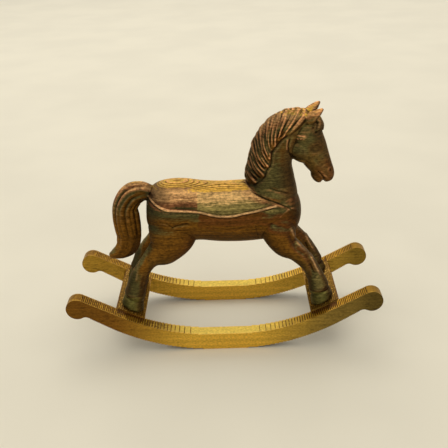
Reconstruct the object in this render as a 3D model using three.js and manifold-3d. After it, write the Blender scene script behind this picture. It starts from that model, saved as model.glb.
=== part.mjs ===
import * as THREE from "three";
import { mergeVertices } from "three/addons/utils/BufferGeometryUtils.js";
import Module from "manifold-3d";

// A rocking horse ornament: a leaping horse whose four hooves stand on the two cross boards
// of a rocker frame with curved runners. Millimetres, +Z up, +X the way the horse faces.
// The origin is on the table, midway between the two flat spots that the runners rest on.

const DEGREE = Math.PI / 180;

// The two runners: a flat spot, a round sweep and a straight rise to a knob at each end.
const RUNNER_LENGTH = 100;
const RUNNER_SPREAD = 34.2;
const RUNNER_THICKNESS = 4.2;
const RUNNER_DEPTH = 5.5;
const FLAT_SPOT_LENGTH = 6.2;
const SOLE_RADIUS = 66.3;
const SOLE_RISE = 31.4 * DEGREE;
const TREAD_RADIUS = 64;
const TREAD_RISE = 27.3 * DEGREE;
const KNOB_RADIUS = 3.45;
const KNOB_DROP = 3.3;
const NOTCH_RADIUS = 1.9;
const RUNNER_EDGE = 0.3;

// The cross boards lie in the slope of the runners' treads, a little proud of them.
const BOARD_WIDTH = 9.5;
const BOARD_THICKNESS = 2.6;
const BOARD_RISE = 0.4;
const BOARD_SINK = 2.2;
const HIND_BOARD_X = -30.1;
const FRONT_BOARD_X = 31.9;

// The horse. Its forms are shares of its height from boards to ear tips, a hundredth each,
// and its lower legs are set out from the middle of each hoof's sole.
const HORSE_HEIGHT = 62.5;
const SOLE_GAP = 0.3;
const HOOF_SPREAD = 17.9;
const HOOF_LENGTH = 6.75;
const HOOF_WIDTH = 6.4;
const HOOF_TOP_SHARE = 0.8;
const HOOF_RISE = 7.2;
const HOOF_LEAN = 1.5;
const TAIL_STRANDS = 6;
const TAIL_GROOVE = 0.13;
const TAIL_TWIST = 1.5;
const SADDLE_CORD_RADIUS = 0.75;
const COLLAR_CORD_RADIUS = 0.65;
const CORD_SINK = 0.5;

// The mane's locks: their roots and their fall are shares of the neck's length, and their reach
// round the neck widens from the withers up. Radii and lifts are shares of the height again.
const MANE_LOCKS = 9;
const MANE_START = 0.24;
const MANE_SPAN = 0.62;
const MANE_FALL = 0.07;
const MANE_MIDDLE_FALL = 0.1;
const MANE_LEAST_REACH = 32 * DEGREE;
const MANE_ADDED_REACH = 50 * DEGREE;
const MANE_REACH_GROWTH = 3.2;
const MANE_PARTING = 10 * DEGREE;
const MANE_SWAY = 0.12;
const MANE_LIFT = 0.1;
const MANE_LOCK_RADIUS = 2;
const MANE_LOCK_SWELL = 0.15;

// The forelock's three curls on the brow.
const FORELOCK_START = 0.03;
const FORELOCK_FALL = 0.2;
const FORELOCK_PARTING = 12 * DEGREE;
const FORELOCK_SPREAD = 22 * DEGREE;
const FORELOCK_LIFT = 0.5;
const FORELOCK_RADIUS = 1.7;

// How finely the round shapes are cut into facets, as sides and rows of a skin.
const SWEEP_STEPS = 11;
const NOTCH_STEPS = 3;
const KNOB_STEPS = 11;
const WIDTH_SAMPLES = 60;
const TORSO_MESH = [20, 17];
const NECK_MESH = [14, 10];
const HEAD_MESH = [14, 11];
const CHEEK_MESH = [12, 6];
const CHIN_MESH = [8, 5];
const TAIL_MESH = [24, 14];
const EAR_MESH = [8, 6];
const LEG_MESH = [11, 12];
const HOOF_MESH = [12, 3];
const LOCK_MESH = [5, 5];
const CURL_MESH = [5, 4];
const CORD_SIDES = 5;
const SADDLE_CORD_ROWS = 16;
const COLLAR_LOWER_ROWS = 7;
const COLLAR_UPPER_ROWS = 5;

// Tolerances of the mesh, in millimetres apart from the spine's step.
const MERGE_TOLERANCE = 1e-5;
const LEAST_SQUARE = 1e-3;
const SPINE_STEP = 1e-3;

const wasm = await Module();
wasm.setup();

function toSolid(geometry) {
  const bare = geometry.index ? geometry.toNonIndexed() : geometry.clone();
  bare.deleteAttribute("normal");
  bare.deleteAttribute("uv");
  const merged = mergeVertices(bare, MERGE_TOLERANCE);
  return new wasm.Manifold(new wasm.Mesh({
    numProp: 3,
    vertProperties: new Float32Array(merged.attributes.position.array),
    triVerts: new Uint32Array(merged.index.array),
  }));
}

function toGeometry(solid) {
  const mesh = solid.getMesh();
  const geometry = new THREE.BufferGeometry();
  geometry.setAttribute("position", new THREE.BufferAttribute(mesh.vertProperties, 3));
  geometry.setIndex(new THREE.BufferAttribute(mesh.triVerts, 1));
  geometry.computeVertexNormals();
  return geometry;
}

function join(solids) {
  return solids.reduce((whole, piece) => whole.add(piece));
}

// Height of a runner's curve over its level stretch: level, then round, then straight.
function sweepHeight(x, radius, rise) {
  const run = Math.max(Math.abs(x) - FLAT_SPOT_LENGTH / 2, 0);
  const roundRun = radius * Math.sin(rise);
  if (run < roundRun) {
    return radius - Math.sqrt(radius * radius - run * run);
  }
  return radius * (1 - Math.cos(rise)) + (run - roundRun) * Math.tan(rise);
}

function treadHeight(x) {
  return RUNNER_DEPTH + sweepHeight(x, TREAD_RADIUS, TREAD_RISE);
}

function treadSlope(x) {
  const run = Math.max(Math.abs(x) - FLAT_SPOT_LENGTH / 2, 0);
  return Math.sign(x) * Math.min(Math.asin(Math.min(run / TREAD_RADIUS, 1)), TREAD_RISE);
}

// Right half of a runner's outline, from the flat spot round the knob and back along the tread.
// The knob hangs from the tread, and a small round notch leads from the underside into it.
function halfOutline() {
  const start = FLAT_SPOT_LENGTH / 2;
  const points = [];
  for (let i = 0; i <= SWEEP_STEPS; i += 1) {
    const angle = SOLE_RISE * i / SWEEP_STEPS;
    points.push([start + SOLE_RADIUS * Math.sin(angle), SOLE_RADIUS * (1 - Math.cos(angle))]);
  }
  const knobX = RUNNER_LENGTH / 2 - KNOB_RADIUS;
  const knobZ = treadHeight(knobX) - KNOB_DROP / Math.cos(TREAD_RISE);
  const along = new THREE.Vector2(Math.cos(SOLE_RISE), Math.sin(SOLE_RISE));
  const up = new THREE.Vector2(-along.y, along.x);
  const from = new THREE.Vector2(...points[SWEEP_STEPS]);
  const toKnob = new THREE.Vector2(knobX, knobZ).sub(from);
  const knobUp = toKnob.dot(up);
  const reach = Math.sqrt((KNOB_RADIUS + NOTCH_RADIUS) ** 2 - (knobUp + NOTCH_RADIUS) ** 2);
  const notch = from.clone().addScaledVector(along, toKnob.dot(along) - reach);
  notch.addScaledVector(up, -NOTCH_RADIUS);
  const notchEnd = Math.atan2(knobZ - notch.y, knobX - notch.x);
  const notchStart = Math.PI / 2 + SOLE_RISE;
  for (let i = 0; i <= NOTCH_STEPS; i += 1) {
    const angle = notchStart + (notchEnd - notchStart) * i / NOTCH_STEPS;
    points.push([notch.x + NOTCH_RADIUS * Math.cos(angle), notch.y + NOTCH_RADIUS * Math.sin(angle)]);
  }
  const knobStart = notchEnd - Math.PI;
  const knobEnd = Math.PI / 2 + TREAD_RISE;
  for (let i = 1; i <= KNOB_STEPS; i += 1) {
    const angle = knobStart + (knobEnd - knobStart) * i / KNOB_STEPS;
    points.push([knobX + KNOB_RADIUS * Math.cos(angle), knobZ + KNOB_RADIUS * Math.sin(angle)]);
  }
  for (let i = SWEEP_STEPS; i >= 0; i -= 1) {
    const x = start + TREAD_RADIUS * Math.sin(TREAD_RISE * i / SWEEP_STEPS);
    points.push([x, treadHeight(x)]);
  }
  return points;
}

function runner(side) {
  const half = halfOutline();
  const outline = new THREE.Shape();
  outline.setFromPoints([
    ...half.map(([x, z]) => new THREE.Vector2(x, z)),
    ...half.slice().reverse().map(([x, z]) => new THREE.Vector2(-x, z)),
  ]);
  const geometry = new THREE.ExtrudeGeometry(outline, {
    depth: RUNNER_THICKNESS - 2 * RUNNER_EDGE,
    bevelEnabled: true,
    bevelThickness: RUNNER_EDGE,
    bevelSize: RUNNER_EDGE,
    bevelOffset: -RUNNER_EDGE,
    bevelSegments: 1,
  });
  geometry.rotateX(Math.PI / 2);
  const middle = (RUNNER_SPREAD - RUNNER_THICKNESS) / 2;
  geometry.translate(0, side * middle + (RUNNER_THICKNESS - 2 * RUNNER_EDGE) / 2, 0);
  return toSolid(geometry);
}

function boardTop(x) {
  return treadHeight(x) + BOARD_RISE;
}

// A slab whose top lies in a board's top plane, lifted by a clearance.
function boardSlab(x, width, span, thickness, lift) {
  const slab = new THREE.BoxGeometry(width, span, thickness);
  slab.translate(0, 0, lift - thickness / 2);
  slab.rotateY(-treadSlope(x));
  slab.translate(x, 0, boardTop(x));
  return toSolid(slab);
}

function board(x) {
  const clearSpan = RUNNER_SPREAD - 2 * RUNNER_THICKNESS;
  return boardSlab(x, BOARD_WIDTH, clearSpan + 2 * BOARD_SINK, BOARD_THICKNESS, 0);
}

const rockerFrame = join([runner(-1), runner(1), board(HIND_BOARD_X), board(FRONT_BOARD_X)]);

// Uniform Catmull-Rom blend through a list of numbers, at t from 0 to 1.
function blend(values, t) {
  const place = Math.min(Math.max(t, 0), 1) * (values.length - 1);
  const i = Math.min(Math.floor(place), values.length - 2);
  const u = place - i;
  const before = values[Math.max(i - 1, 0)];
  const after = values[Math.min(i + 2, values.length - 1)];
  const a = values[i];
  const b = values[i + 1];
  const bend = 2 * before - 5 * a + 4 * b - after;
  const twist = 3 * (a - b) + after - before;
  return a + 0.5 * u * (b - before + u * (bend + u * twist));
}

// Rows of a skin lie a little closer together towards both of its ends.
function rowShare(even) {
  const quarter = Math.PI / 4;
  return 0.5 - 0.5 * Math.cos(quarter + 2 * quarter * even) / Math.cos(quarter);
}

// A closed skin of oval sections along a spine. A station is [x, y, z, deep, wide] in millimetres:
// half the section's size across the spine in the horse's own plane, and to its sides. Turn 0
// faces up on a spine that runs forward, and a quarter turn faces the horse's right, -Y.
class Form {
  constructor(stations) {
    this.stations = stations;
  }

  column(index, t) {
    return blend(this.stations.map((station) => station[index]), t);
  }

  radius(index, t) {
    const squares = this.stations.map((station) => station[index] ** 2);
    return Math.sqrt(Math.max(blend(squares, t), LEAST_SQUARE));
  }

  spine(t) {
    return new THREE.Vector3(this.column(0, t), this.column(1, t), this.column(2, t));
  }

  point(t, turn, lift = 0, relief = 1) {
    const ahead = this.spine(Math.min(t + SPINE_STEP, 1));
    const along = ahead.sub(this.spine(Math.max(t - SPINE_STEP, 0))).normalize();
    const side = new THREE.Vector3(0, -1, 0);
    side.addScaledVector(along, -side.dot(along)).normalize();
    const deep = new THREE.Vector3().crossVectors(side, along).normalize();
    const reach = (this.radius(3, t) * relief + lift) * Math.cos(turn);
    const spread = (this.radius(4, t) * relief + lift) * Math.sin(turn);
    return this.spine(t).addScaledVector(deep, reach).addScaledVector(side, spread);
  }

  solid([sides, rows], relief = () => 1) {
    const skin = new THREE.CylinderGeometry(1, 1, 1, sides, rows);
    const position = skin.attributes.position;
    for (let i = 0; i < position.count; i += 1) {
      const t = rowShare(0.5 - position.getY(i));
      const turn = Math.atan2(-position.getX(i), position.getZ(i));
      const middle = Math.hypot(position.getX(i), position.getZ(i)) < 0.5;
      const place = middle ? this.spine(t) : this.point(t, turn, 0, relief(turn, t));
      position.setXYZ(i, place.x, place.y, place.z);
    }
    return toSolid(skin);
  }
}

const UNIT = HORSE_HEIGHT / 100;
const STANCE = (boardTop(HIND_BOARD_X) + boardTop(FRONT_BOARD_X)) / 2;

function onHorse(stations) {
  return stations.map(([x, y, z, deep, wide]) => [
    x * UNIT,
    y * UNIT,
    STANCE + z * UNIT,
    deep * UNIT,
    wide * UNIT,
  ]);
}

function midline(stations) {
  return onHorse(stations.map(([x, z, deep, wide]) => [x, 0, z, deep, wide]));
}

const torso = new Form(midline([
  [-38.2, 46.6, 3, 3], [-37.2, 46.6, 8, 8], [-34, 46.8, 13, 12],
  [-28, 47.4, 15.8, 14.6], [-20, 47.4, 16.4, 15],
  [-10, 46.9, 15.4, 14.8], [0, 46, 15.7, 14.6], [10, 46, 16, 14.4], [20, 46.4, 15.8, 13.8],
  [29, 46.3, 14.6, 12.8], [35.5, 46, 12.4, 11], [38.6, 46, 8.6, 8.2], [40.4, 46, 3, 3],
]));

const neck = new Form(midline([
  [24, 46, 15, 12], [25, 55, 13.8, 11.2], [25.2, 64, 11.9, 9.4], [25.6, 72, 10.2, 8], [27.4, 80, 9.8, 7.2],
  [31.5, 87, 8.8, 6.4], [37, 91.5, 6.5, 5.6], [42.5, 93, 4.2, 4.8], [45, 93, 2.5, 3.5],
]));

const head = new Form(midline([
  [39.5, 94, 3.5, 3.6], [41.8, 89.8, 7.4, 5.4], [43.2, 84.6, 7.6, 6.2],
  [45, 79, 7.8, 6], [47.6, 73.5, 6.9, 4.9],
  [50.3, 68.6, 5.7, 4.2], [52.2, 65, 4.9, 4], [52.9, 62.6, 3.8, 3.3], [53, 61, 1.6, 1.8],
]));

const cheek = new Form(midline([
  [33.6, 78.8, 1, 1], [35.4, 78.8, 5, 4], [41.4, 79, 8, 6.1], [47.4, 79, 5, 4.6], [49.2, 79, 1, 1],
]));

const chin = new Form(midline([
  [46.5, 67.5, 1.5, 1.2], [47.7, 65, 2.7, 2.6], [49.4, 62.8, 2.7, 2.8], [51.4, 61.6, 1.2, 1.4],
]));

const tail = new Form(midline([
  [-31.5, 55.5, 3, 3.5], [-36, 57.6, 4, 4.2], [-40.8, 58.1, 5.6, 4.8], [-45.3, 56.2, 6.4, 5.2],
  [-48.8, 50.5, 6.4, 5.4], [-49, 44.5, 7, 5.5], [-48.6, 38.5, 6.9, 5.4], [-48.4, 33, 6.4, 5.2],
  [-50, 28, 5.9, 4.8], [-53.6, 24.6, 4.4, 3.9], [-57.6, 22.9, 2.4, 2.6], [-59.8, 22.6, 0.9, 1],
]));

function ear(side) {
  return new Form(onHorse([
    [42.6, 3.6, 92.6, 2.6, 1.9], [44.4, 4.7, 95, 2.7, 1.7],
    [46.8, 5.6, 97.4, 2.1, 1.3], [49.8, 6.4, 100, 0.4, 0.4],
  ].map(([x, y, ...rest]) => [x, side * y, ...rest])));
}

// Lower-leg stations are measured from the middle of the hoof's sole on its board.
function fromHoof(boardX, side, stations) {
  return stations.map(([x, y, z, deep, wide]) => [
    boardX + x * UNIT,
    side * (HOOF_SPREAD / 2 + y * UNIT),
    boardTop(boardX) + z * UNIT,
    deep * UNIT,
    wide * UNIT,
  ]);
}

function foreleg(side) {
  const shoulder = [
    [27, 6.5, 47, 8.6, 6], [29, 8, 39, 8.2, 6.4], [32.3, 9.4, 30.2, 6.5, 5.4], [37.2, 10.8, 26.7, 4.1, 4.3],
  ];
  return new Form([
    ...onHorse(shoulder.map(([x, y, ...rest]) => [x, side * y, ...rest])),
    ...fromHoof(FRONT_BOARD_X, side, [
      [-8.7, -2.3, 20.5, 3.4, 3.2], [-5.8, -1.5, 15.9, 3.2, 3], [-3.7, -0.8, 11.2, 4, 3.5],
      [-2.4, -0.3, 7.4, 4.7, 4.3], [-1.8, -0.2, 5.4, 4.5, 4.1],
    ]),
  ]);
}

function hindLeg(side) {
  const thigh = [
    [-24, 6.5, 46, 12, 7.5], [-25.5, 8.2, 37.5, 12.4, 6.9],
    [-30, 9.6, 30, 9.1, 5.7], [-36, 11.1, 25.9, 5.1, 4.5],
  ];
  return new Form([
    ...onHorse(thigh.map(([x, y, ...rest]) => [x, side * y, ...rest])),
    ...fromHoof(HIND_BOARD_X, side, [
      [8, -2.1, 22.4, 4.1, 3.8], [5.9, -1.4, 17.3, 3.8, 3.4], [4.2, -0.8, 12.3, 4.1, 3.7],
      [2.6, -0.3, 8.1, 4.8, 4.4], [1.9, -0.2, 6, 4.6, 4.2],
    ]),
  ]);
}

// A hoof flares from the coronet to the sole and is cut off by the board's top plane.
function hoof(boardX, side) {
  const lean = -Math.sign(boardX) * HOOF_LEAN * UNIT;
  const sole = boardTop(boardX);
  const y = side * HOOF_SPREAD / 2;
  const deep = HOOF_LENGTH / 2;
  const wide = HOOF_WIDTH / 2;
  const foot = new Form([
    [boardX + lean, y, sole + HOOF_RISE * UNIT, HOOF_TOP_SHARE * deep, HOOF_TOP_SHARE * wide],
    [boardX, y, sole, deep, wide],
    [boardX - lean, y, sole - HOOF_RISE * UNIT, deep, wide],
  ]);
  const below = boardSlab(boardX, 3 * BOARD_WIDTH, RUNNER_SPREAD, 3 * HOOF_LENGTH, SOLE_GAP);
  return foot.solid(HOOF_MESH).subtract(below);
}

// One lock of hair: a strand through the given points on the skin, thinner at its root and thinnest
// at its tip.
function strand(points, radius, mesh) {
  const last = points.length - 1;
  return new Form(points.map((place, i) => {
    const fullness = Math.sin(Math.PI * (0.22 + 0.75 * i / last));
    const size = radius * Math.sqrt(Math.max(fullness, 0.02));
    return [place.x, place.y, place.z, size, size];
  })).solid(mesh);
}

// Locks leave the crest one behind another and hang to the mane's edge, shortest at the withers.
function maneLocks(side) {
  const locks = [];
  for (let i = 0; i < MANE_LOCKS; i += 1) {
    const share = i / MANE_LOCKS;
    const middle = Math.sin(Math.PI * share);
    const root = MANE_START + MANE_SPAN * share;
    const fall = MANE_FALL + MANE_MIDDLE_FALL * middle;
    const reach = MANE_LEAST_REACH + MANE_ADDED_REACH * Math.min(MANE_REACH_GROWTH * share, 1);
    const points = [0, 0.25, 0.5, 0.75, 1].map((u) => {
      const sway = MANE_SWAY * Math.sin(2 * Math.PI * u);
      const turn = side * (MANE_PARTING * (1 - u) - reach * (u + sway));
      return neck.point(root - fall * u * u, turn, MANE_LIFT * UNIT);
    });
    locks.push(strand(points, MANE_LOCK_RADIUS * (1 + MANE_LOCK_SWELL * middle) * UNIT, LOCK_MESH));
  }
  return locks;
}

// The forelock falls between the ears in three curls.
function forelock() {
  return [-1, 0, 1].map((place) => strand([0, 0.5, 1].map((u) => {
    const turn = -place * (FORELOCK_PARTING + FORELOCK_SPREAD * u);
    return head.point(FORELOCK_START + FORELOCK_FALL * u, turn, FORELOCK_LIFT * UNIT);
  }), FORELOCK_RADIUS * UNIT, CURL_MESH));
}

// Half the width of a form at a place in the side view, or zero beside it.
function halfWidthAt(form, x, z) {
  let nearest = { miss: Infinity, half: 0 };
  for (let i = 0; i <= WIDTH_SAMPLES; i += 1) {
    const t = i / WIDTH_SAMPLES;
    const away = form.spine(t);
    const miss = Math.hypot(x - away.x, z - away.z) / form.radius(3, t);
    if (miss < nearest.miss) {
      nearest = { miss, half: form.radius(4, t) * Math.sqrt(Math.max(1 - miss * miss, 0)) };
    }
  }
  return nearest.half;
}

// A cord half sunk in the body's side, along places given in the side view as [x, z] shares.
function cord(forms, places, radius, side, rows) {
  return new Form(places.map(([shareX, shareZ]) => {
    const x = shareX * UNIT;
    const z = STANCE + shareZ * UNIT;
    const half = Math.max(...forms.map((form) => halfWidthAt(form, x, z)));
    return [x, side * (half - CORD_SINK * radius * UNIT), z, radius * UNIT, radius * UNIT];
  })).solid([CORD_SIDES, rows]);
}

const SADDLE_EDGE = [
  [-34.5, 57], [-31, 54.8], [-26, 53.3], [-18, 52.7], [-10, 51.6],
  [-3, 49.7], [4, 49.2], [11, 50.2], [20, 51.7], [29, 53.6],
];
const COLLAR_LOWER = [[12, 61], [16.7, 58.8], [22, 56.6], [28, 54.2], [33, 51.6], [37, 48.4]];
const COLLAR_UPPER = [[18, 63.6], [23, 61.6], [28, 59.8], [33.5, 58]];

function tailRelief(turn, t) {
  const wave = Math.abs(Math.sin(0.5 * TAIL_STRANDS * turn + TAIL_TWIST * t));
  return 1 - TAIL_GROOVE * (1 - wave) ** 2;
}

function halfOfHorse(side) {
  return [
    ear(side).solid(EAR_MESH),
    foreleg(side).solid(LEG_MESH),
    hindLeg(side).solid(LEG_MESH),
    hoof(FRONT_BOARD_X, side),
    hoof(HIND_BOARD_X, side),
    ...maneLocks(side),
    cord([torso], SADDLE_EDGE, SADDLE_CORD_RADIUS, side, SADDLE_CORD_ROWS),
    cord([torso, neck], COLLAR_LOWER, COLLAR_CORD_RADIUS, side, COLLAR_LOWER_ROWS),
    cord([torso, neck], COLLAR_UPPER, COLLAR_CORD_RADIUS, side, COLLAR_UPPER_ROWS),
  ];
}

const horse = join([
  torso.solid(TORSO_MESH),
  neck.solid(NECK_MESH),
  head.solid(HEAD_MESH),
  cheek.solid(CHEEK_MESH),
  chin.solid(CHIN_MESH),
  tail.solid(TAIL_MESH, tailRelief),
  ...forelock(),
  ...halfOfHorse(-1),
  ...halfOfHorse(1),
]);

function piece(name, solid, color, roughness, metalness) {
  const material = new THREE.MeshStandardMaterial({ color, roughness, metalness });
  const mesh = new THREE.Mesh(toGeometry(solid), material);
  mesh.name = name;
  return mesh;
}

const rockingHorse = new THREE.Group();
rockingHorse.add(piece("horse", horse, 0x6b5128, 0.42, 0.35));
rockingHorse.add(piece("rocker_frame", rockerFrame, 0x9a7420, 0.4, 0.35));

export default rockingHorse;
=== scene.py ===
import math

import bmesh
import bpy
import numpy as np
from mathutils import Matrix, Vector


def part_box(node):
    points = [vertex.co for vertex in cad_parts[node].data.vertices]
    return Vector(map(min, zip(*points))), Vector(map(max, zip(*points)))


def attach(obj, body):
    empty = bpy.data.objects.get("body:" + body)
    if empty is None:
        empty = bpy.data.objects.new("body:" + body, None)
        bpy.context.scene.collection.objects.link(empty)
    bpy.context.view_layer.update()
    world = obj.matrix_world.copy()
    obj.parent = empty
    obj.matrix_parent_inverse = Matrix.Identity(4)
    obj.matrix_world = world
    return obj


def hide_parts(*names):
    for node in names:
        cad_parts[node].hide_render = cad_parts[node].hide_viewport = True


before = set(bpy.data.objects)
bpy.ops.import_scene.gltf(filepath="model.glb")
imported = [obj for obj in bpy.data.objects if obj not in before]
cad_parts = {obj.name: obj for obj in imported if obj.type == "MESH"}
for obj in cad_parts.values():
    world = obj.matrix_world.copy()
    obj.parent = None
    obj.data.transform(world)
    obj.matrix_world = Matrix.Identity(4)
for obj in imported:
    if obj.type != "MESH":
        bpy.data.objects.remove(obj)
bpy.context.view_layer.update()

# A printed rocking horse: a leaping horse on a rocker frame, in silk gold, copper and green
# filament. Shapes are made in millimetres, with the origin on the table midway between the two
# flat spots of the runners, +Z up and +X the way the horse faces, and end in metres.

bl_info = {
    "name": "Printed Rocking Horse",
    "version": (1, 0, 0),
    "blender": (4, 5, 0),
    "location": "View3D > Sidebar > Rocking Horse",
    "description": "Makes a printed rocking horse, its rocker frame and a plain stage round a packed frame",
    "category": "Add Mesh",
}

METRE = 1000.0
HORSE_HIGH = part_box("horse")[1] * METRE
ROCKER_LOW, ROCKER_HIGH = (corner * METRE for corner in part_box("rocker_frame"))

# The runners: a flat spot, a round sweep and a straight rise to a knob at each end.
RUNNER_LENGTH = ROCKER_HIGH.x - ROCKER_LOW.x
RUNNER_SPREAD = ROCKER_HIGH.y - ROCKER_LOW.y
RUNNER_THICKNESS = 4.2
RUNNER_DEPTH = 5.5
FLAT_SPOT_LENGTH = 6.2
SOLE_RADIUS = 66.3
SOLE_RISE = math.radians(31.4)
TREAD_RADIUS = 64.0
TREAD_RISE = math.radians(27.3)
KNOB_RADIUS = 3.45
KNOB_DROP = 3.3
NOTCH_RADIUS = 1.9
CURVE_STEPS = 90

# The cross boards.
BOARD_WIDTH = 9.5
BOARD_THICKNESS = 2.6
BOARD_RISE = 0.4
BOARD_SINK = 0.03
HIND_BOARD_X = -30.1
FRONT_BOARD_X = 31.9

# The hooves.
SOLE_GAP = 0.3
HOOF_SPREAD = 17.9
HOOF_LENGTH = 7.5
HOOF_WIDTH = 6.4

# The printed layers, and how fine the carving's skin is.
LAYER = 0.28
LAYERS_IN_A_BAND = 2.3
SKIN_VOXEL = 0.2
HORSE_FACES = 190000

# How far round a place the skin is evened out, to find its relief and the way it faces at large.
RELIEF_REACH = 0.93
FACING_REACH = 0.79

# The least square of a section's size, and the step along a spine that gives its direction.
LEAST_SQUARE = 1e-3
SPINE_STEP = 1e-3
HORSE_RIGHT = np.array([0.0, -1.0, 0.0])


def sweep_height(x, radius, rise):
    """Height of a runner's curve over its level stretch: level, then round, then straight."""
    run = max(abs(x) - FLAT_SPOT_LENGTH / 2, 0)
    round_run = radius * math.sin(rise)
    if run < round_run:
        return radius - math.sqrt(radius * radius - run * run)
    return radius * (1 - math.cos(rise)) + (run - round_run) * math.tan(rise)


def tread_height(x):
    return RUNNER_DEPTH + sweep_height(x, TREAD_RADIUS, TREAD_RISE)


def tread_slope(x):
    run = max(abs(x) - FLAT_SPOT_LENGTH / 2, 0)
    return math.copysign(min(math.asin(min(run / TREAD_RADIUS, 1)), TREAD_RISE), x)


def board_top(x):
    return tread_height(x) + BOARD_RISE


STANCE = (board_top(HIND_BOARD_X) + board_top(FRONT_BOARD_X)) / 2
UNIT = (HORSE_HIGH.z - STANCE) / 100


# Forms

def blend(rows, t):
    """Catmull-Rom blend through rows of numbers, at each t from 0 to 1."""
    rows = np.asarray(rows, float)
    last = len(rows) - 1
    place = np.clip(np.atleast_1d(t), 0, 1) * last
    i = np.minimum(place.astype(int), last - 1)
    u = (place - i)[:, None]
    before, a, b, after = rows[np.maximum(i - 1, 0)], rows[i], rows[i + 1], rows[np.minimum(i + 2, last)]
    bend = 2 * before - 5 * a + 4 * b - after
    twist = 3 * (a - b) + after - before
    return a + 0.5 * u * (b - before + u * (bend + u * twist))


def unit_rows(rows):
    return rows / np.maximum(np.linalg.norm(rows, axis=1, keepdims=True), 1e-9)


class Form:
    """Oval sections along a spine. A station is x, y, z, deep, wide: half the section's size
    across the spine in the horse's own plane, and to its sides. Turn 0 faces up on a spine that
    runs forward, and a quarter turn faces the horse's right, -Y."""

    def __init__(self, stations):
        self.stations = np.array(stations, float)

    def spine(self, t):
        return blend(self.stations[:, :3], t)

    def radii(self, t):
        return np.sqrt(np.maximum(blend(self.stations[:, 3:5] ** 2, t), LEAST_SQUARE))

    def point(self, t, turn, lift=0.0, relief=1.0):
        t, turn = np.broadcast_arrays(np.atleast_1d(np.asarray(t, float)), turn)
        ahead, behind = np.minimum(t + SPINE_STEP, 1), np.maximum(t - SPINE_STEP, 0)
        along = unit_rows(self.spine(ahead) - self.spine(behind))
        side = unit_rows(HORSE_RIGHT - along * (along @ HORSE_RIGHT)[:, None])
        deep = np.cross(side, along)
        radii = self.radii(t) * np.reshape(relief, (-1, 1)) + np.reshape(lift, (-1, 1))
        reach = radii[:, :1] * np.cos(turn)[:, None]
        spread = radii[:, 1:] * np.sin(turn)[:, None]
        return self.spine(t) + deep * reach + side * spread


def on_horse(stations):
    """Stations in shares of the horse's height, from the boards up, as millimetres."""
    rows = np.array(stations, float) * UNIT
    rows[:, 2] += STANCE
    return rows


def midline(stations):
    rows = np.array(stations, float)
    return on_horse(np.insert(rows, 1, 0.0, axis=1))


def mirrored(stations, side):
    rows = np.array(stations, float)
    rows[:, 1] *= side
    return rows


def row_shares(rows):
    """Rows of a skin lie a little closer together towards both of its ends."""
    quarter = math.pi / 4
    even = np.linspace(0, 1, rows + 1)
    return 0.5 - 0.5 * np.cos(quarter + 2 * quarter * even) / math.cos(quarter)


def merge_into(shape, other):
    """Adds another bmesh to this one and frees it."""
    carrier = bpy.data.meshes.new("carrier")
    other.to_mesh(carrier)
    other.free()
    shape.from_mesh(carrier)
    bpy.data.meshes.remove(carrier)


def add_skin(shape, form, sides, rows, relief=None):
    """Adds a form's closed skin: one circle, drawn out ring by ring and capped at both ends."""
    turns = np.arange(sides) * 2 * math.pi / sides
    skin = bmesh.new()
    made = bmesh.ops.create_circle(skin, cap_ends=True, radius=1, segments=sides)["verts"]
    ring = {vert: k for k, vert in enumerate(made)}
    edges = list(skin.edges)
    for row, t in enumerate(row_shares(rows)):
        if row:
            grown = bmesh.ops.extrude_edge_only(skin, edges=edges)["geom"]
            fresh = [item for item in grown if isinstance(item, bmesh.types.BMVert)]
            edges = [item for item in grown if isinstance(item, bmesh.types.BMEdge)]
            behind = {vert: [edge.other_vert(vert) for edge in vert.link_edges] for vert in fresh}
            ring = {vert: next(ring[v] for v in others if v in ring) for vert, others in behind.items()}
        lift = relief(turns, t) if relief else 1.0
        places = form.point(np.full(sides, t), turns, relief=lift)
        for vert, k in ring.items():
            vert.co = places[k]
    bmesh.ops.contextual_create(skin, geom=edges)
    merge_into(shape, skin)


TORSO = Form(midline([
    [-38.2, 46.6, 3, 3], [-37.2, 46.6, 8, 8], [-34, 46.8, 13, 12], [-28, 47.4, 15.8, 14.6],
    [-20, 47.4, 16.4, 15], [-10, 46.9, 15.4, 14.8], [0, 46, 15.7, 14.6], [10, 46, 16, 14.4],
    [20, 46.4, 15.8, 13.8], [29, 46.3, 14.6, 12.8], [35.5, 46, 12.4, 11], [38.6, 46, 8.6, 8.2],
    [40.4, 46, 3, 3],
]))
NECK = Form(midline([
    [24, 46, 15, 12], [25, 55, 13.8, 11.2], [25.2, 64, 11.9, 9.4], [25.6, 72, 10.2, 8], [27.4, 80, 9.8, 7.2],
    [31.5, 87, 8.8, 6.4], [37, 91.5, 6.5, 5.6], [42.5, 93, 4.2, 4.8], [45, 93, 2.5, 3.5],
]))
HEAD = Form(midline([
    [39.5, 94, 3.5, 3.6], [41.8, 89.8, 7.4, 5.4], [43.2, 84.6, 7.6, 6.2], [45, 79, 7.8, 6],
    [47.6, 73.5, 6.9, 4.9], [50.3, 68.6, 5.7, 4.2], [52.2, 65, 4.9, 4], [52.9, 62.6, 3.8, 3.3],
    [53, 61, 1.6, 1.8],
]))
CHEEK = Form(midline([
    [33.6, 78.8, 1, 1], [35.4, 78.8, 5, 4], [41.4, 79, 8, 6.1], [47.4, 79, 5, 4.6], [49.2, 79, 1, 1],
]))
CHIN = Form(midline([
    [46.5, 67.5, 1.5, 1.2], [47.7, 65, 2.7, 2.6], [49.4, 62.8, 2.7, 2.8], [51.4, 61.6, 1.2, 1.4],
]))
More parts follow.
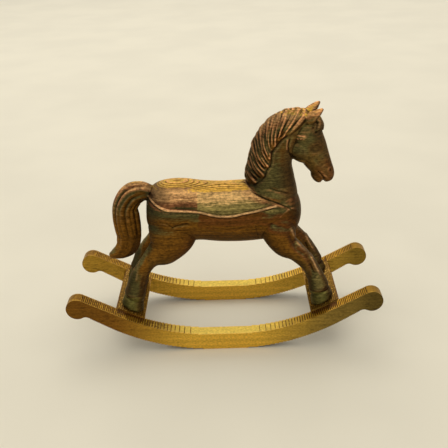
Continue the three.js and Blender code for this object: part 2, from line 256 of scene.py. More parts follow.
TAIL = Form(midline([
    [-31.5, 55.5, 3, 3.5], [-36, 57.6, 4, 4.2], [-40.8, 58.1, 5.6, 4.8], [-45.3, 56.2, 6.4, 5.2],
    [-48.8, 50.5, 6.4, 5.4], [-49, 44.5, 7, 5.5], [-48.6, 38.5, 6.9, 5.4], [-48.4, 33, 6.4, 5.2],
    [-50, 28, 5.9, 4.8], [-53.6, 24.6, 4.4, 3.9], [-57.6, 22.9, 2.4, 2.6], [-59.8, 22.6, 0.9, 1],
]))


def ear_form(side):
    return Form(on_horse(mirrored([
        [42.8, 3.8, 93.4, 2.2, 1.7], [44.3, 4.7, 95.2, 2.9, 1.5],
        [46.7, 5.6, 97.3, 2.3, 1.2], [49.8, 6.4, 100, 0.4, 0.4],
    ], side)))


def from_hoof(board_x, side, stations):
    """Lower-leg stations, measured from the middle of the hoof's sole on its board."""
    rows = np.array(stations, float) * UNIT
    rows[:, 0] += board_x
    rows[:, 1] = side * (HOOF_SPREAD / 2 + rows[:, 1])
    rows[:, 2] += board_top(board_x)
    return rows


def foreleg_form(side):
    shoulder = on_horse(mirrored([
        [26.4, 6.5, 47, 9.2, 6], [28, 8, 39, 9, 6.4], [31.6, 9.4, 31, 7, 5.4], [37.2, 10.8, 26.8, 4.9, 4.4],
    ], side))
    shin = from_hoof(FRONT_BOARD_X, side, [
        [-7.9, -2.3, 20.5, 4.2, 3.8], [-4.9, -1.5, 15.9, 4.1, 3.6], [-3, -0.8, 11.2, 4.7, 4],
        [-2, -0.3, 7.4, 5.1, 4.6], [-1.5, -0.2, 5.4, 4.8, 4.4],
    ])
    return Form(np.vstack([shoulder, shin]))


def hind_leg_form(side):
    thigh = on_horse(mirrored([
        [-24, 6.5, 46, 12, 7.5], [-25.5, 8.2, 37.5, 12.4, 6.9],
        [-30, 9.6, 30, 9.1, 5.7], [-36, 11.1, 25.9, 5.1, 4.5],
    ], side))
    shin = from_hoof(HIND_BOARD_X, side, [
        [8, -2.1, 22.4, 4.1, 3.8], [5, -1.4, 17.3, 4.7, 3.9], [3.3, -0.8, 12.3, 5, 4.2],
        [2.1, -0.3, 8.1, 5.3, 4.7], [1.5, -0.2, 6, 5, 4.5],
    ])
    return Form(np.vstack([thigh, shin]))


# A hoof's top is a little smaller and leans back over its sole, which lies in its board's slope.
HOOF_TOP_SHARE = 0.8
HOOF_RISE = 7.2
HOOF_LEAN = 1.5


def add_hoof(shape, board_x, side):
    lean = -math.copysign(HOOF_LEAN * UNIT, board_x)
    sole, y = board_top(board_x), side * HOOF_SPREAD / 2
    deep, wide = HOOF_LENGTH / 2, HOOF_WIDTH / 2
    form = Form([
        [board_x + lean, y, sole + HOOF_RISE * UNIT, HOOF_TOP_SHARE * deep, HOOF_TOP_SHARE * wide],
        [board_x, y, sole, deep, wide],
        [board_x - lean, y, sole - HOOF_RISE * UNIT, deep, wide],
    ])
    hoof = bmesh.new()
    add_skin(hoof, form, 40, 16)
    slope = tread_slope(board_x)
    up = Vector((-math.sin(slope), 0, math.cos(slope)))
    cut = bmesh.ops.bisect_plane(
        hoof, geom=[*hoof.verts, *hoof.edges, *hoof.faces], dist=1e-4,
        plane_co=Vector((board_x, 0, sole)) + up * SOLE_GAP, plane_no=up, clear_inner=True,
    )["geom_cut"]
    bmesh.ops.contextual_create(hoof, geom=[item for item in cut if isinstance(item, bmesh.types.BMEdge)])
    merge_into(shape, hoof)


# Hair. The mane's strands run from the crest down and forward to its lower edge, three to a lock.
MANE_STRANDS = 18
LOCK_STRANDS = 3
LOCK_POINT = 1.2
MANE_BEND = 1.6
MANE_STRAND_RADIUS = 1.9
MANE_PATH_POINTS = 9
FORELOCK_STRANDS = 7
MANE_CREST = [
    [42.9, 96.9], [38.7, 98.6], [34.6, 98.4], [29.8, 97.6], [26, 95.3], [22.4, 92.3],
    [19.3, 89], [17.2, 85.9], [15.3, 82.2], [14.3, 77.7], [13.4, 73.8], [12.3, 69],
]
MANE_EDGE = [
    [32.9, 87.7], [30.3, 86.6], [28.5, 84.7], [26.4, 82], [24.9, 79.8], [24.6, 75.7],
    [24, 73.3], [22.5, 71.6], [21.6, 68.7], [20, 66.5], [17.6, 64.6], [14.8, 62.1],
]


def strand_form(points, radius):
    share = np.linspace(0, 1, len(points))
    fullness = np.maximum(np.sin(math.pi * (0.2 + 0.78 * share)), 0.02)
    size = radius * np.sqrt(fullness)
    return Form(np.column_stack([points, size, size]))


def mane_path(share, reach=0.0):
    """The side view of a strand that leaves the crest at a share of its length, 0 at the poll."""
    root, tip = blend(MANE_CREST, share)[0], blend(MANE_EDGE, share)[0]
    tip = tip + reach * (tip - root) / np.linalg.norm(tip - root)
    u = np.linspace(0, 1, MANE_PATH_POINTS)[:, None]
    bend = MANE_BEND * min(3 * share, 1) * np.sin(math.pi * u)
    return root + (tip - root) * u - bend * np.array([1, 0.2])


def on_neck(path):
    """Places on the neck's right side that a path in the side view runs over."""
    t, turn = np.meshgrid(np.linspace(0, 1, 161), np.linspace(0, math.radians(120), 61))
    skin = NECK.point(t.ravel(), turn.ravel())
    flat = on_horse(np.column_stack([path[:, 0], np.zeros((len(path), 1)), path[:, 1], path]))[:, [0, 2]]
    nearest = [int(np.argmin(np.linalg.norm(skin[:, [0, 2]] - place, axis=1))) for place in flat]
    return skin[nearest]


def mane_strand(side, i):
    """One strand. The middle one of each lock reaches a little further."""
    step = i % LOCK_STRANDS - (LOCK_STRANDS - 1) / 2
    reach = LOCK_POINT * (0.6 - 1.2 * abs(step))
    points = on_neck(mane_path((i + 0.5) / MANE_STRANDS, reach)) * np.array([1, -side, 1])
    thick = MANE_STRAND_RADIUS * (1 + 0.1 * math.sin(2.4 * i + 0.6))
    return strand_form(points, thick * UNIT)


def carve_mane(skin):
    """Deep and shallow grooves between the strands, and a thin one down the middle of each."""
    for i in range(2 * MANE_STRANDS - 1):
        share = (i + 1) / (2 * MANE_STRANDS)
        between = i % 2
        deep = between and (i // 2 + 1) % LOCK_STRANDS == 0
        height = -0.46 if deep else -0.32 if between else -0.13
        skin.line(mane_path(share), 0.27 if between else 0.16, height)
    skin.line([[x + 0.5, z - 0.7] for x, z in MANE_EDGE], 0.34, -0.22, 0.05)


def forelock_strand(i):
    place = (i - (FORELOCK_STRANDS - 1) / 2) / ((FORELOCK_STRANDS - 1) / 2)
    u = np.linspace(0, 1, 7)
    curl = 0.16 * np.sin(2.4 * math.pi * u + 1.3 * i)
    turn = -place * np.radians(14 + 30 * u) + curl
    points = HEAD.point(0.02 + (0.21 - 0.05 * abs(place)) * u, turn, lift=0.5 * UNIT * np.ones(7))
    return strand_form(points, 1.25 * UNIT)


def tail_relief(turns, t):
    """Grooves that run down the tail beside each other and twist slowly round it."""
    flow = 3.5 * turns + 1.8 * t + 0.5 * math.sin(7 * t)
    coarse = 1 - np.abs(np.sin(flow))
    fine = 1 - np.abs(np.sin(2 * flow + 0.8 + 0.9 * math.sin(9 * t + 1)))
    fade = min(1.0, 6 * t) * min(1.0, 5 * (1 - t))
    return 1.02 - fade * (0.17 * coarse**2 + 0.12 * fine**2)


# The carved lines, as x along and z above the boards in shares of the horse's height.
SADDLE_EDGE = [
    [-36.2, 57.2], [-34.5, 56.6], [-31, 54.8], [-26, 53.3], [-18, 52.7], [-10, 51.6],
    [-3, 49.7], [4, 49.2], [11, 50.2], [20, 51.7], [27, 53],
]
FORELEG_RIDGE = [
    [34.6, 40.6], [36, 37.2], [37.4, 34], [39.4, 31], [42, 28.9],
    [44, 26.8], [45.6, 23.4], [47.6, 19.4], [49.4, 16.2],
]
COLLAR_LOWER = [[13.5, 60.6], [16.7, 58.8], [22, 56.6], [28, 54.2], [33, 51.6], [37, 48.4]]
COLLAR_UPPER = [[22, 63], [26, 61], [30, 59.6], [34, 58], [38, 56.6]]


def smooth_line(places, steps=8):
    return blend(places, np.linspace(0, 1, steps * (len(places) - 1) + 1))


class Skin:
    """The horse's skin as arrays, moved the way a sculptor's brushes would move it."""

    def __init__(self, piece):
        self.mesh = piece.data
        count = len(self.mesh.vertices)
        flat = np.empty(count * 3)
        self.mesh.vertices.foreach_get("co", flat)
        self.place = flat.reshape(-1, 3)
        pairs = np.empty(len(self.mesh.edges) * 2, int)
        self.mesh.edges.foreach_get("vertices", pairs)
        self.pairs = pairs.reshape(-1, 2)
        ends = self.pairs.ravel()
        self.links = np.maximum(np.bincount(ends, minlength=count), 1)
        self.refresh()

    def refresh(self):
        self.mesh.vertices.foreach_set("co", self.place.ravel())
        self.mesh.update()
        flat = np.empty(len(self.place) * 3)
        self.mesh.vertices.foreach_get("normal", flat)
        self.normal = flat.reshape(-1, 3)

    def even(self, values, times):
        """Values averaged with their neighbours, a number of times."""
        values = np.array(values, float)
        columns = values if values.ndim == 2 else values[:, None]
        first, second = self.pairs[:, 0], self.pairs[:, 1]
        for _ in range(times):
            total = np.empty_like(columns)
            for k in range(columns.shape[1]):
                total[:, k] = np.bincount(first, columns[second, k], len(columns))
                total[:, k] += np.bincount(second, columns[first, k], len(columns))
            columns = 0.5 * columns + 0.5 * total / self.links[:, None]
        return columns if values.ndim == 2 else columns[:, 0]

    def push(self, amount):
        """Moves the skin out along its normals, in millimetres."""
        self.place = self.place + self.normal * amount[:, None]
        self.refresh()

    def near_line(self, places, reach):
        """Distance in the side view to a smooth line of shares, and how far along it, both sides alike."""
        line = smooth_line(places) * UNIT + np.array([0, STANCE])
        flat = self.place[:, [0, 2]]
        low, high = line.min(0) - reach, line.max(0) + reach
        close = np.where(((flat > low) & (flat < high)).all(1))[0]
        away = np.full(len(flat), 1e3)
        along = np.zeros(len(flat))
        spot = flat[close]
        for k in range(len(line) - 1):
            step = line[k + 1] - line[k]
            share = np.clip((spot - line[k]) @ step / (step @ step), 0, 1)
            miss = np.linalg.norm(spot - line[k] - share[:, None] * step, axis=1)
            better = miss < away[close]
            away[close[better]] = miss[better]
            along[close[better]] = (k + share[better]) / (len(line) - 1)
        return away, along

    def facing_side(self):
        """One where the skin faces left or right, and zero where it faces along the horse."""
        return np.clip((np.abs(self.normal[:, 1]) - 0.15) / 0.35, 0, 1)

    def line(self, places, width, height, taper=0.12, where=None):
        """A ridge along a line in the side view, or a groove if the height is below zero."""
        away, along = self.near_line(places, 3 * width)
        ends = np.clip(np.minimum(along, 1 - along) / taper, 0, 1) if taper else 1
        amount = height * np.exp(-((away / width) ** 2)) * ends * self.facing_side()
        if where is not None:
            amount = amount * where
        self.push(amount)

    def spot(self, centre, size, height, both=True):
        """A soft bump round a place in shares, or a dent if the height is below zero."""
        x, y, z = centre
        across = np.abs(self.place[:, 1]) if both else self.place[:, 1]
        offset = np.column_stack([
            self.place[:, 0] - x * UNIT, across - y * UNIT, self.place[:, 2] - STANCE - z * UNIT,
        ]) / (np.array(size) * UNIT)
        self.push(height * np.exp(-(offset**2).sum(1)))


def horse_form_mesh():
    """All the horse's forms and hair as closed skins in one mesh, still overlapping."""
    shape = bmesh.new()
    add_skin(shape, TORSO, 72, 64)
    add_skin(shape, NECK, 56, 48)
    add_skin(shape, HEAD, 48, 44)
    add_skin(shape, CHEEK, 40, 20)
    add_skin(shape, CHIN, 24, 16)
    add_skin(shape, TAIL, 128, 110, tail_relief)
    for i in range(FORELOCK_STRANDS):
        add_skin(shape, forelock_strand(i), 12, 14)
    for side in (-1, 1):
        add_skin(shape, ear_form(side), 28, 24)
        add_skin(shape, foreleg_form(side), 40, 56)
        add_skin(shape, hind_leg_form(side), 40, 56)
        add_hoof(shape, FRONT_BOARD_X, side)
        add_hoof(shape, HIND_BOARD_X, side)
        for i in range(MANE_STRANDS):
            add_skin(shape, mane_strand(side, i), 12, 22)
    bmesh.ops.recalc_face_normals(shape, faces=shape.faces)
    return shape


def carve_body(skin):
    """Saddle edge, collar, thigh, belly, breast and shoulder."""
    # The saddle's cord, with a shallow groove beside it.
    away, along = skin.near_line(SADDLE_EDGE, 4)
    side = skin.facing_side()
    ends = np.clip(np.minimum(along, 1 - along) / 0.05, 0, 1)
    rim = 0.3 * np.exp(-((away / 0.2) ** 2)) - 0.14 * np.exp(-((away - 0.5) ** 2) / 0.05)
    skin.push(rim * ends * side)
    # The collar's two lines and the raised band between them.
    clear_of_mane = np.clip((skin.place[:, 0] / UNIT - 11) / 4, 0, 1)
    skin.line(COLLAR_LOWER, 0.22, -0.3, 0.3, clear_of_mane)
    skin.line(COLLAR_UPPER, 0.22, -0.26, 0.3, clear_of_mane)
    band = [[17, 61.4], [23, 59], [29, 56.8], [36, 53.8]]
    skin.line(band, 1.3, 0.14, 0.3, clear_of_mane)
    # The wavy fold over the thigh.
    skin.line([[-31.4, 47.2], [-28.2, 47], [-26, 45.8], [-24.4, 44]], 0.3, -0.24)
    skin.line([[-24.8, 43.9], [-23, 45], [-20.4, 45.8], [-15.6, 46.4]], 0.3, -0.26)
    skin.line([[-24.4, 42.6], [-22, 43.8], [-18.6, 44.2]], 0.4, 0.1)
    # A groove and a ridge along the belly, and the fold behind the elbow.
    skin.line([[-10, 44.2], [-3, 42.9], [3, 42.2], [10, 42.9], [15, 44]], 0.3, -0.14)
    skin.line([[-8, 42.5], [-2, 40.9], [4, 40.4], [11, 41.2]], 0.3, 0.12)
    skin.line([[16.6, 44.5], [17.1, 41], [17.8, 37], [18.6, 34]], 0.4, -0.16)
    # The muscles of breast and shoulder, and the full hip.
    skin.line([[27.4, 44.6], [28.9, 47.2], [31, 49], [34, 50.8], [36.6, 50.4], [38.2, 48.4]], 0.4, 0.15)
    skin.spot((35.2, 9.5, 47.6), (2.4, 4, 2.2), -0.3)
    skin.line([[36.2, 43.4], [37.4, 41.4], [37.2, 38.8], [36, 36.8]], 0.5, 0.22)
    skin.line([[19.4, 45.4], [24, 44.2], [30, 42.6], [35, 39.8]], 0.6, -0.16)
    skin.spot((-27, 13, 50), (9, 6, 6), 0.22)


# Over the hooves: how far the leg leans back there and how high it is counted, and the heights of a
# groove and a swelling over the hoof's sole.
PASTERN_LEAN = 1.2
PASTERN_TOP = 16
CORONET_HEIGHT = 3.5
FETLOCK_HEIGHT = 4.9


def carve_legs(skin):
    """Tendons, knees, hocks and the fetlocks over the hooves."""
    # The ridge down the foreleg, with a groove behind it; a painted highlight runs along it.
    skin.line(FORELEG_RIDGE, 0.3, 0.4, 0.08)
    skin.line([[x - 1.7, z - 1.0] for x, z in FORELEG_RIDGE], 0.5, -0.26, 0.1)
    # Knee and hock.
    skin.spot((41.5, 12, 27.2), (2.4, 3.2, 2.6), 0.24)
    skin.spot((-42.8, 13, 29), (2.4, 3.4, 2.4), 0.3)
    skin.line([[-40.6, 33.4], [-38.6, 34.6], [-36.8, 37.4]], 0.4, -0.26)
    # Tendons down the cannons.
    skin.line([[-38.4, 27.6], [-39.2, 22], [-40.6, 16], [-42, 11]], 0.5, -0.22)
    skin.line([[-42.6, 27], [-43.4, 21], [-44.6, 15.5]], 0.45, 0.2)
    skin.line([[44.2, 22.6], [45.4, 18], [46.4, 13.5]], 0.5, -0.18)
    # The coronet's groove and the fetlock, level with each hoof's sloping sole.
    for board_x in (FRONT_BOARD_X, HIND_BOARD_X):
        middle = board_x - math.copysign(PASTERN_LEAN, board_x)
        reach = np.abs(skin.place[:, 0] - middle) < HOOF_LENGTH
        low = skin.place[:, 2] < STANCE + PASTERN_TOP * UNIT
        slope = tread_slope(board_x)
        height = (skin.place[:, 2] - board_top(board_x)) * math.cos(slope)
        height -= (skin.place[:, 0] - board_x) * math.sin(slope)
        coronet = np.exp(-(((height - CORONET_HEIGHT) / 0.3) ** 2))
        fetlock = np.exp(-(((height - FETLOCK_HEIGHT) / 0.9) ** 2))
        skin.push((0.16 * fetlock - 0.34 * coronet) * reach * low)


# Places along the hollow of an ear, in shares of the horse's height.
EAR_HOLLOW = [[46.6, 5.2, 95.2], [47.6, 5.6, 96.6], [48.9, 6.1, 98.4]]


def carve_head(skin):
    """Cheek, eyes, nostrils, mouth and ears, the same on both sides."""
    # The cheek's round edge, the jaw and the hollow under it.
    cheek_edge = [[34.6, 86.4], [33.8, 83.5], [33.6, 81], [34.2, 78.2], [35.9, 75.4], [38.6, 73.4]]
    skin.line(cheek_edge, 0.32, -0.24, 0.1)
    skin.line([[33, 85.4], [32.6, 82.4], [32.8, 79.6]], 0.3, 0.1)
    skin.spot((40.5, 7, 86.4), (2.6, 3, 1.5), 0.2)
    skin.line([[38, 74.6], [42, 73.2], [45.4, 71.4]], 0.36, -0.16)
    # The eye in its hollow, with both lids.
    skin.spot((47, 5.6, 80.6), (2.3, 2.4, 1.7), -0.34)
    skin.spot((47.1, 5.4, 80.3), (1.2, 2.4, 0.9), 0.16)
    skin.line([[44.9, 81.6], [46.5, 82.6], [48.2, 82.2], [49.4, 80.6]], 0.3, 0.1)
    skin.line([[45.2, 79.2], [47, 78.6], [48.9, 79.2]], 0.24, -0.12)
    # Gaps in the forelock's curls, and the long bone of the nose.
    skin.spot((45.4, 6, 90.4), (0.75, 2.2, 0.8), -0.34)
    skin.spot((46.8, 5.6, 88), (0.8, 2.2, 0.7), -0.3)
    skin.line([[45.8, 77], [48, 73.4], [50.8, 70.6]], 0.7, -0.2)
    # Nostril, mouth and lips.
    skin.spot((54, 3.6, 68.6), (1.3, 2, 1.2), 0.26)
    skin.spot((54.7, 3.6, 68), (0.62, 1.6, 0.8), -0.5)
    skin.line([[48, 67.6], [49.8, 66], [50.9, 64.2], [51.3, 61.8]], 0.24, -0.34, 0.06)
    skin.spot((51.2, 0, 60.9), (0.7, 5, 1.5), -0.5)
    skin.line([[51.6, 65.4], [53, 63.6], [53.4, 61.8]], 0.3, 0.12)
    # The ears' hollows, which face forward.
    for side in (-1, 1):
        for centre in on_horse(mirrored(EAR_HOLLOW, side)):
            miss = np.linalg.norm((skin.place - centre) / UNIT, axis=1)
            front = np.clip(skin.normal[:, 0] * 2, 0, 1)
            skin.push(-0.3 * np.exp(-((miss / 1.2) ** 2)) * front)


def terraces(skin):
    """Level printed steps on the back, where the skin is nearly flat."""
    height = skin.place[:, 2] / LAYER
    level = np.floor(height)
    rest = height - level
    step = np.clip((rest - 0.7) / 0.3, 0, 1)
    step = step * step * (3 - 2 * step)
    flatness = np.clip((skin.even(skin.normal[:, 2], 12) - 0.88) / 0.06, 0, 1)
    skin.place[:, 2] += flatness * (level + step - height) * LAYER
    skin.refresh()


def store(mesh, name, values):
    """A value or a vector at each vertex, for the materials to read."""
    kind = "FLOAT_VECTOR" if values.ndim == 2 else "FLOAT"
    attribute = mesh.attributes.new(name, kind, "POINT")
    attribute.data.foreach_set("vector" if values.ndim == 2 else "value", values.astype(np.float32).ravel())


def note_relief(piece, voxel):
    """Stores the direction that the skin faces at large, how far it stands out of its surroundings,
    where painted highlights run along the saddle's cord and the foreleg's ridge, and what lies below
    the saddle's cord. The two reaches are in millimetres, so a finer grain takes more rounds."""
    skin = Skin(piece)
    calm = skin.even(skin.place, round((RELIEF_REACH / voxel) ** 2))
    store(piece.data, "relief", skin.even(((skin.place - calm) * skin.normal).sum(1), 1))
    store(piece.data, "facing", unit_rows(skin.even(skin.normal, round((FACING_REACH / voxel) ** 2))))
    away, _ = skin.near_line(SADDLE_EDGE, 2)
    from_ridge, _ = skin.near_line(FORELEG_RIDGE, 2)
    # Painted highlights: a light line along the saddle's raised cord and a weaker one down the foreleg's
    # ridge.
    light = np.exp(-((away / 0.24) ** 2)) + 0.55 * np.exp(-((from_ridge / 0.3) ** 2))
    store(piece.data, "cord", light * skin.facing_side())
    cord = smooth_line(SADDLE_EDGE) * UNIT + np.array([0, STANCE])
    drop = np.interp(skin.place[:, 0], cord[:, 0], cord[:, 1]) - skin.place[:, 2]
    inside = (skin.place[:, 0] > cord[0, 0]) & (skin.place[:, 0] < cord[-1, 0] + 5)
    store(piece.data, "below_cord", np.clip(drop / 0.8, 0, 1) * inside)


def apply_modifier(piece, kind, **settings):
    """Adds one modifier, applies it and leaves the piece with a plain mesh."""
    modifier = piece.modifiers.new(kind.title(), kind)
    for name, value in settings.items():
        setattr(modifier, name, value)
    graph = bpy.context.evaluated_depsgraph_get()
    mesh = bpy.data.meshes.new_from_object(piece.evaluated_get(graph))
    piece.modifiers.clear()
    old, piece.data = piece.data, mesh
    bpy.data.meshes.remove(old)
    mesh.name = piece.name


def new_piece(name, shape):
    """A piece from a finished bmesh, linked to the scene, at the origin."""
    mesh = bpy.data.meshes.new(name)
    shape.to_mesh(mesh)
    shape.free()
    piece = bpy.data.objects.new(name, mesh)
    bpy.context.scene.collection.objects.link(piece)
    return piece


def settle(piece, material, node):
    """Brings a finished piece to metres, gives it its material and its place in the frame."""
    piece.data.transform(Matrix.Scale(1 / METRE, 4))
    piece.data.materials.clear()
    piece.data.materials.append(material)
    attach(piece, "root")
    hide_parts(node)


# The rocker frame

def half_outline():
    """Right half of a runner's outline, from the flat spot round the knob and back along the tread."""
    start = FLAT_SPOT_LENGTH / 2
    angles = np.linspace(0, SOLE_RISE, CURVE_STEPS)
    points = [(start + SOLE_RADIUS * math.sin(a), SOLE_RADIUS * (1 - math.cos(a))) for a in angles]
    knob_x = RUNNER_LENGTH / 2 - KNOB_RADIUS
    knob = Vector((knob_x, tread_height(knob_x) - KNOB_DROP / math.cos(TREAD_RISE)))
    along = Vector((math.cos(SOLE_RISE), math.sin(SOLE_RISE)))
    up = Vector((-along.y, along.x))
    to_knob = knob - Vector(points[-1])
    reach = math.sqrt((KNOB_RADIUS + NOTCH_RADIUS) ** 2 - (to_knob.dot(up) + NOTCH_RADIUS) ** 2)
    notch = Vector(points[-1]) + along * (to_knob.dot(along) - reach) - up * NOTCH_RADIUS
    notch_end = math.atan2(knob.y - notch.y, knob.x - notch.x)
    for angle in np.linspace(math.pi / 2 + SOLE_RISE, notch_end, CURVE_STEPS // 4):
        points.append((notch.x + NOTCH_RADIUS * math.cos(angle), notch.y + NOTCH_RADIUS * math.sin(angle)))
    for angle in np.linspace(notch_end - math.pi, math.pi / 2 + TREAD_RISE, CURVE_STEPS)[1:]:
        points.append((knob.x + KNOB_RADIUS * math.cos(angle), knob.y + KNOB_RADIUS * math.sin(angle)))
    for angle in np.linspace(TREAD_RISE, 0, CURVE_STEPS):
        x = start + TREAD_RADIUS * math.sin(angle)
        points.append((x, tread_height(x)))
    return points


def stepped(outline, smooth_beyond=math.inf):
    """A closed outline as printed layers leave it: level stretches and upright risers, one layer high.
    Each point also says which end of its riser it is, 0 below and 1 above. Further out than
    smooth_beyond the outline stays as it is."""
    steps = []
    top = max(z for _, z in outline)
    for (x0, z0), (x1, z1) in zip(outline, outline[1:] + outline[:1]):
        if min(abs(x0), abs(x1)) > smooth_beyond:
            steps.append((x1, z1, 0.5))
            continue
        first, last = math.floor(z0 / LAYER - 0.5), math.floor(z1 / LAYER - 0.5)
        rising = z1 > z0
        for k in range(first + 1, last + 1) if rising else range(first, last, -1):
            middle = (k + 0.5) * LAYER
            x = x0 + (x1 - x0) * (middle - z0) / (z1 - z0)
            ends = [(x, k * LAYER, 0.0), (x, min((k + 1) * LAYER, top), 1.0)]
            steps.extend(ends if rising else ends[::-1])
    return steps


def add_slab(shape, outline, low_y, high_y):
    """Adds an outline drawn in the side view, pulled out from low_y to high_y."""
    slab = bmesh.new()
    step = slab.verts.layers.float.new("step")
    verts = [slab.verts.new((x, low_y, z)) for x, z, _ in outline]
    for vert, (_, _, end) in zip(verts, outline):
        vert[step] = end
    edges = [slab.edges.new(ends) for ends in zip(verts, verts[1:] + verts[:1])]
    face = bmesh.ops.contextual_create(slab, geom=edges)["faces"]
    grown = bmesh.ops.extrude_face_region(slab, geom=face)["geom"]
    moved = [item for item in grown if isinstance(item, bmesh.types.BMVert)]
    bmesh.ops.translate(slab, verts=moved, vec=(0, high_y - low_y, 0))
    bmesh.ops.recalc_face_normals(slab, faces=slab.faces)
    merge_into(shape, slab)


def board_outline(x):
    slope = tread_slope(x)
    along = Vector((math.cos(slope), math.sin(slope)))
    down = Vector((math.sin(slope), -math.cos(slope)))
    top = Vector((x, board_top(x)))
    half = along * BOARD_WIDTH / 2
    low = top + down * BOARD_THICKNESS
    corners = [low - half, low + half, top + half, top - half]
    points = []
    for a, b in zip(corners, corners[1:] + corners[:1]):
        points.extend((a + (b - a) * share)[:] for share in np.linspace(0, 1, 20)[:-1])
    return points


def frame_mesh():
    half = half_outline()
    outline = stepped(half + [(-x, z) for x, z in reversed(half)], RUNNER_LENGTH / 2 - 2 * KNOB_RADIUS)
    shape = bmesh.new()
    for side in (-1, 1):
        outer = side * RUNNER_SPREAD / 2
        inner = outer - side * RUNNER_THICKNESS
        add_slab(shape, outline, min(outer, inner), max(outer, inner))
    return shape


def boards_mesh():
    reach = RUNNER_SPREAD / 2 - RUNNER_THICKNESS + BOARD_SINK
    shape = bmesh.new()
    for x in (HIND_BOARD_X, FRONT_BOARD_X):
        add_slab(shape, stepped(board_outline(x)), -reach, reach)
    return shape


# Materials

class Wire:
    """A shader value that takes part in Python sums: each sum adds its Math node."""

    def __init__(self, finish, socket):
        self.finish = finish
        self.socket = socket

    def math(self, operation, *values):
        return self.finish.add("ShaderNodeMath", {"operation": operation}, dict(enumerate(values)))

    def __add__(self, other):
        return self.math("ADD", self, other)

    def __sub__(self, other):
        return self.math("SUBTRACT", self, other)

    def __rsub__(self, other):
        return self.math("SUBTRACT", other, self)

    def __mul__(self, other):
        return self.math("MULTIPLY", self, other)

    def __truediv__(self, other):
        return self.math("DIVIDE", self, other)

    def __pow__(self, other):
        return self.math("POWER", self, other)

    def __abs__(self):
        return self.math("ABSOLUTE", self)

    __radd__ = __add__
    __rmul__ = __mul__


class Finish:
    """A material's nodes. add() makes any node: its settings first, then its sockets."""

    def __init__(self, name):
        self.material = bpy.data.materials.new(name)
        self.material.use_nodes = True
        self.nodes = self.material.node_tree.nodes
        self.nodes.clear()

    def add(self, kind, settings=None, sockets=None, output=0):
        node = self.nodes.new(kind)
        for name, value in (settings or {}).items():
            if name == "stops":
                self.set_stops(node.color_ramp, value)
            else:
                setattr(node, name, value)
        for name, value in (sockets or {}).items():
            if isinstance(value, Wire):
                self.material.node_tree.links.new(value.socket, node.inputs[name])
            else:
                node.inputs[name].default_value = value
        return Wire(self, node.outputs[output]) if len(node.outputs) else None

    def set_stops(self, ramp, stops):
        while len(ramp.elements) < len(stops):
            ramp.elements.new(1.0)
        for element, (place, colour) in zip(ramp.elements, stops):
            element.position = place
            element.color = colour

    def ramp(self, share, stops):
        return self.add("ShaderNodeValToRGB", {"stops": stops}, {0: share})

    def mix(self, share, first, second):
        return self.add("ShaderNodeMix", {"data_type": "RGBA"}, {0: share, 6: first, 7: second}, 2)

    def brighten(self, colour, amount):
        return self.add("ShaderNodeHueSaturation", None, {"Color": colour, "Value": amount})

    def smooth(self, value, low, high, start=0.0, end=1.0):
        sockets = {"Value": value, "From Min": low, "From Max": high, "To Min": start, "To Max": end}
        return self.add("ShaderNodeMapRange", {"interpolation_type": "SMOOTHSTEP"}, sockets)

    def place(self):
        """The place on a piece, in millimetres."""
        coordinates = self.add("ShaderNodeTexCoord", output=3)
        return self.add("ShaderNodeVectorMath", {"operation": "SCALE"}, {0: coordinates, "Scale": METRE})

    def parts(self, vector):
        node = self.add("ShaderNodeSeparateXYZ", None, {0: vector}).socket.node
        return [Wire(self, socket) for socket in node.outputs]

    def stored(self, name):
        """A value that store() left on the mesh."""
        return self.add("ShaderNodeAttribute", {"attribute_name": name}, output=2)

    def stored_vector(self, name):
        return self.add("ShaderNodeAttribute", {"attribute_name": name}, output=1)

    def draw(self, number):
        """A random value from 0 to 1 for each whole number."""
        return self.add("ShaderNodeTexWhiteNoise", {"noise_dimensions": "1D"}, {"W": number})

    def cloud(self, place, size, detail=2.0, stretch=(1, 1, 1)):
        """Soft noise from 0 to 1 with features of a size in millimetres."""
        scaled = self.add("ShaderNodeVectorMath", {"operation": "MULTIPLY"}, {0: place, 1: stretch})
        return self.add("ShaderNodeTexNoise", None, {"Vector": scaled, "Scale": 1 / size, "Detail": detail})

    def silk(self, colour, rough, height, metal):
        """Joins the looks of silk filament into its shader. The height is in millimetres."""
        bump = {"Strength": 1.0, "Distance": 1 / METRE, "Height": height}
        shader = self.add("ShaderNodeBsdfPrincipled", None, {
            "Base Color": colour, "Roughness": rough, "Normal": self.add("ShaderNodeBump", None, bump),
            "Metallic": metal, "Specular IOR Level": 0.15, "Specular Tint": tone(255, 232, 194),
        })
        self.add("ShaderNodeOutputMaterial", None, {"Surface": shader})
        return self.material


def tone(red, green, blue):
    """A colour given as it shows on a screen, 0 to 255, as the linear colour that nodes take."""
    def linear(value):
        share = value / 255
        return share / 12.92 if share <= 0.04045 else ((share + 0.055) / 1.055) ** 2.4
    return (linear(red), linear(green), linear(blue), 1.0)


class PrintedLayers:
    """What printed layers do to a surface: a brightness for each layer and for each few layers,
    fine streaks along them, and a rounded bead at each layer's edge."""

    def __init__(self, finish, z, place):
        self.finish = finish
        layer = z / LAYER
        self.rest = layer.math("FRACT", layer)
        number = layer.math("FLOOR", layer)
        band = (layer / LAYERS_IN_A_BAND).math("FLOOR", layer / LAYERS_IN_A_BAND)
        self.random = finish.draw(number) * 0.55 + finish.draw(band) * 0.75 - 0.15
        self.streaks = finish.cloud(place, 1.0, 2.0, (0.13, 0.13, 3.0))
        self.bead = 1 - (self.rest * 2 - 1) ** 2.0

    def contour(self, up):
        """Dark contour lines of painted shade along the printed steps' edges, where the surface is nearly
        level.
        """
        slope = (1.001 - up * up) ** 0.5 / (abs(up) + 0.03)
        return self.finish.smooth(abs(self.rest - 0.5), 0.5, 0.15) * self.finish.smooth(slope, 0.8, 0.45)


# The seam across the barrel, at a share of the horse's height, and its blur in millimetres.
SEAM_X = -11.6
SEAM_BLUR = 0.25

